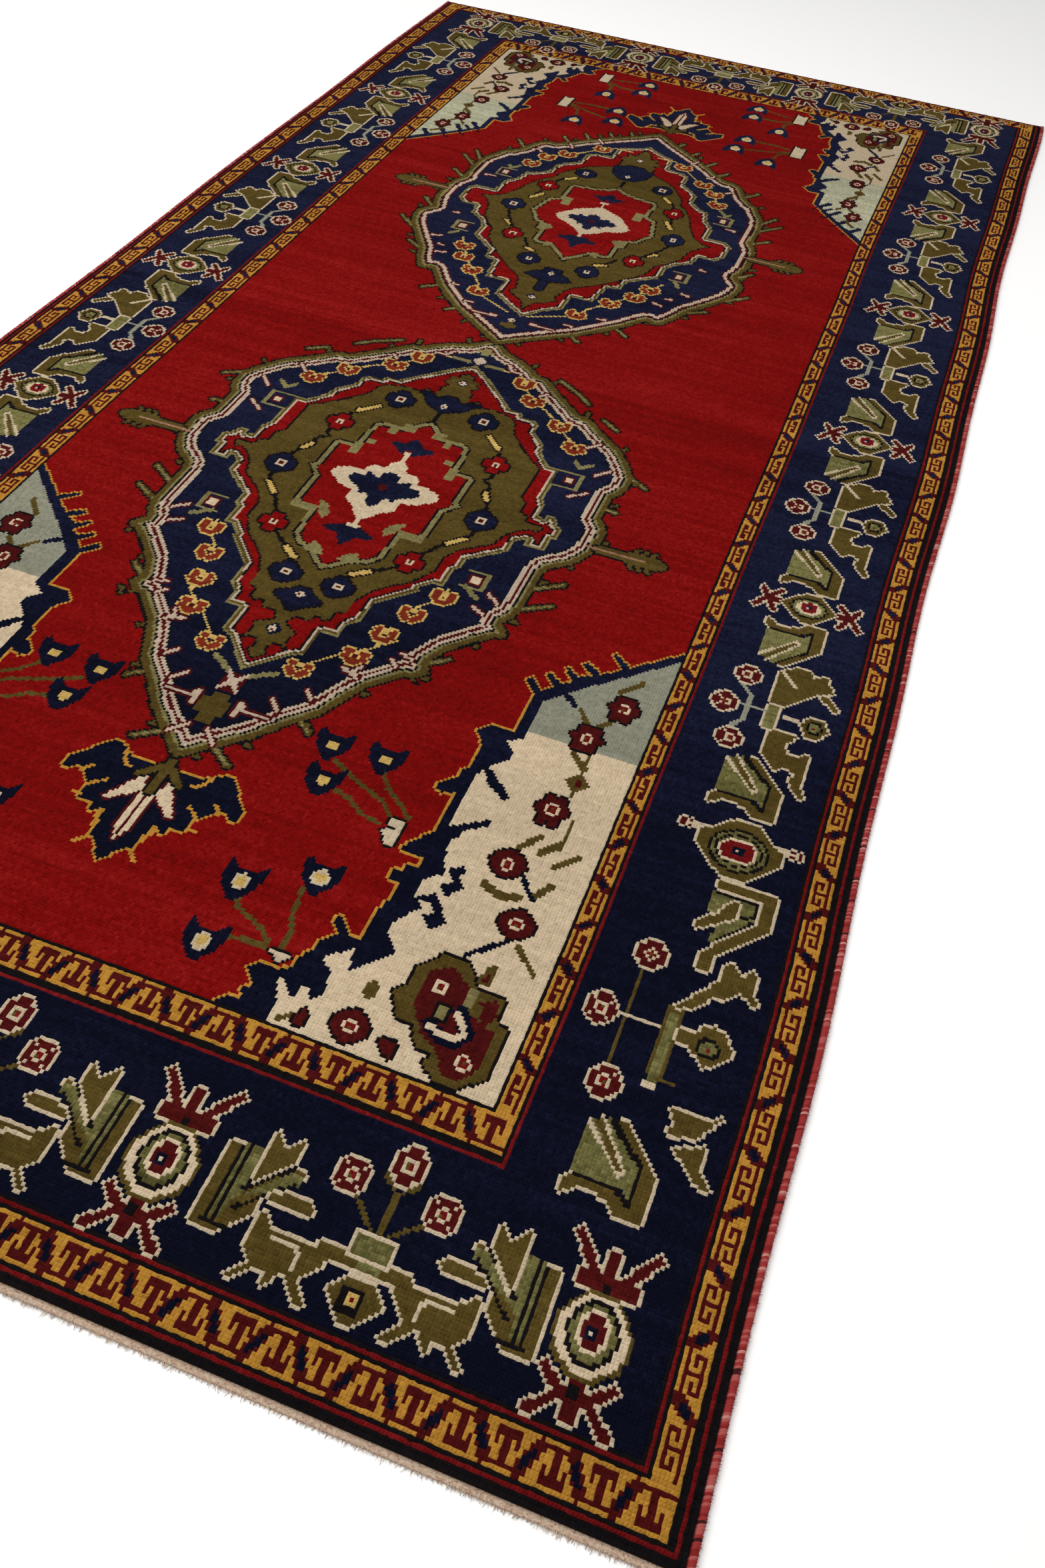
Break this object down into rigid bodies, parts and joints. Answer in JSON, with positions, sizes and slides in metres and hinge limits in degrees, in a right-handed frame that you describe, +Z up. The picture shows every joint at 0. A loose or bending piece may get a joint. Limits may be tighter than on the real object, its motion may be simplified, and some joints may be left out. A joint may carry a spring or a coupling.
{
  "type": "area rug",
  "caption": "Long hand-knotted wool rug laid flat, with a double-medallion field, corner spandrels and framed borders; covers and softens a floor.",
  "frame": {"origin": "centre of the rug's underside, on the floor", "axes": "+Z up out of the pile, +Y along the rug's length towards the far end, +X across it to the right"},
  "size_m": [1.52, 3.195, 0.008],
  "materials": {
    "foundation_yarn": "plain weave, matt",
    "warp_yarn": "fuzzy, matt",
    "selvedge_wool": "overcast wool, matt",
    "pile_red": "wool pile, soft sheen",
    "pile_navy": "wool pile, soft sheen",
    "pile_dark": "wool pile, soft sheen",
    "pile_gold": "wool pile, soft sheen",
    "pile_cream": "wool pile, soft sheen"
  },
  "bodies": {
    "root": {"field_pile": "pile_red", "finial_far": "pile_navy", "finial_near": "pile_navy", "fringe_far": "warp_yarn", "fringe_near": "warp_yarn", "ground_weave": "foundation_yarn", "inner_guard_border_far": "pile_gold", "inner_guard_border_left": "pile_gold", "inner_guard_border_near": "pile_gold", "inner_guard_border_right": "pile_gold", "kilim_end_far": "warp_yarn", "kilim_end_near": "warp_yarn", "main_border_far": "pile_navy", "main_border_left": "pile_navy", "main_border_near": "pile_navy", "main_border_right": "pile_navy", "medallion_far": "pile_navy", "medallion_near": "pile_navy", "outer_guard_border_far": "pile_gold", "outer_guard_border_left": "pile_gold", "outer_guard_border_near": "pile_gold", "outer_guard_border_right": "pile_gold", "outline_stripes_far": "pile_dark", "outline_stripes_left": "pile_dark", "outline_stripes_near": "pile_dark", "outline_stripes_right": "pile_dark", "selvedge_cords_left": "warp_yarn", "selvedge_cords_right": "warp_yarn", "selvedge_wrap_left": "selvedge_wool", "selvedge_wrap_right": "selvedge_wool", "spandrel_far_left": "pile_cream", "spandrel_far_right": "pile_cream", "spandrel_near_left": "pile_cream", "spandrel_near_right": "pile_cream"}
  },
  "joints": []
}
